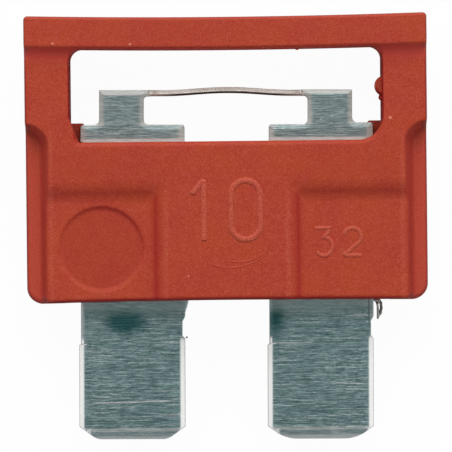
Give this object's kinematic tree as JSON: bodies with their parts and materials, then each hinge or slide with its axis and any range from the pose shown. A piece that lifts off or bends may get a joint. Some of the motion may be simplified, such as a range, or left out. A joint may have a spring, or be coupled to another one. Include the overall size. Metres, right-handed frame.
{
  "type": "automotive blade fuse",
  "caption": "Plug-in blade fuse: a flat red moulded housing with a handle window, and one stamped metal strip with two blades and a thin link across the window.",
  "frame": {"origin": "the middle of the seat face, where the housing meets its holder, halfway through the strip's thickness", "axes": "+X across the two blades, +Y from the blade tips towards the grip bar, +Z through the thickness, up from the surface that the fuse lies on"},
  "size_m": [0.0196, 0.0207, 0.0052],
  "materials": {
    "housing_plastic": "satin moulded, opaque red",
    "zinc_strip": "bare rolled zinc, grey with fine cross lines and bright pressed edges"
  },
  "bodies": {
    "root": {"housing": "housing_plastic", "fuse_element": "zinc_strip"}
  },
  "joints": []
}
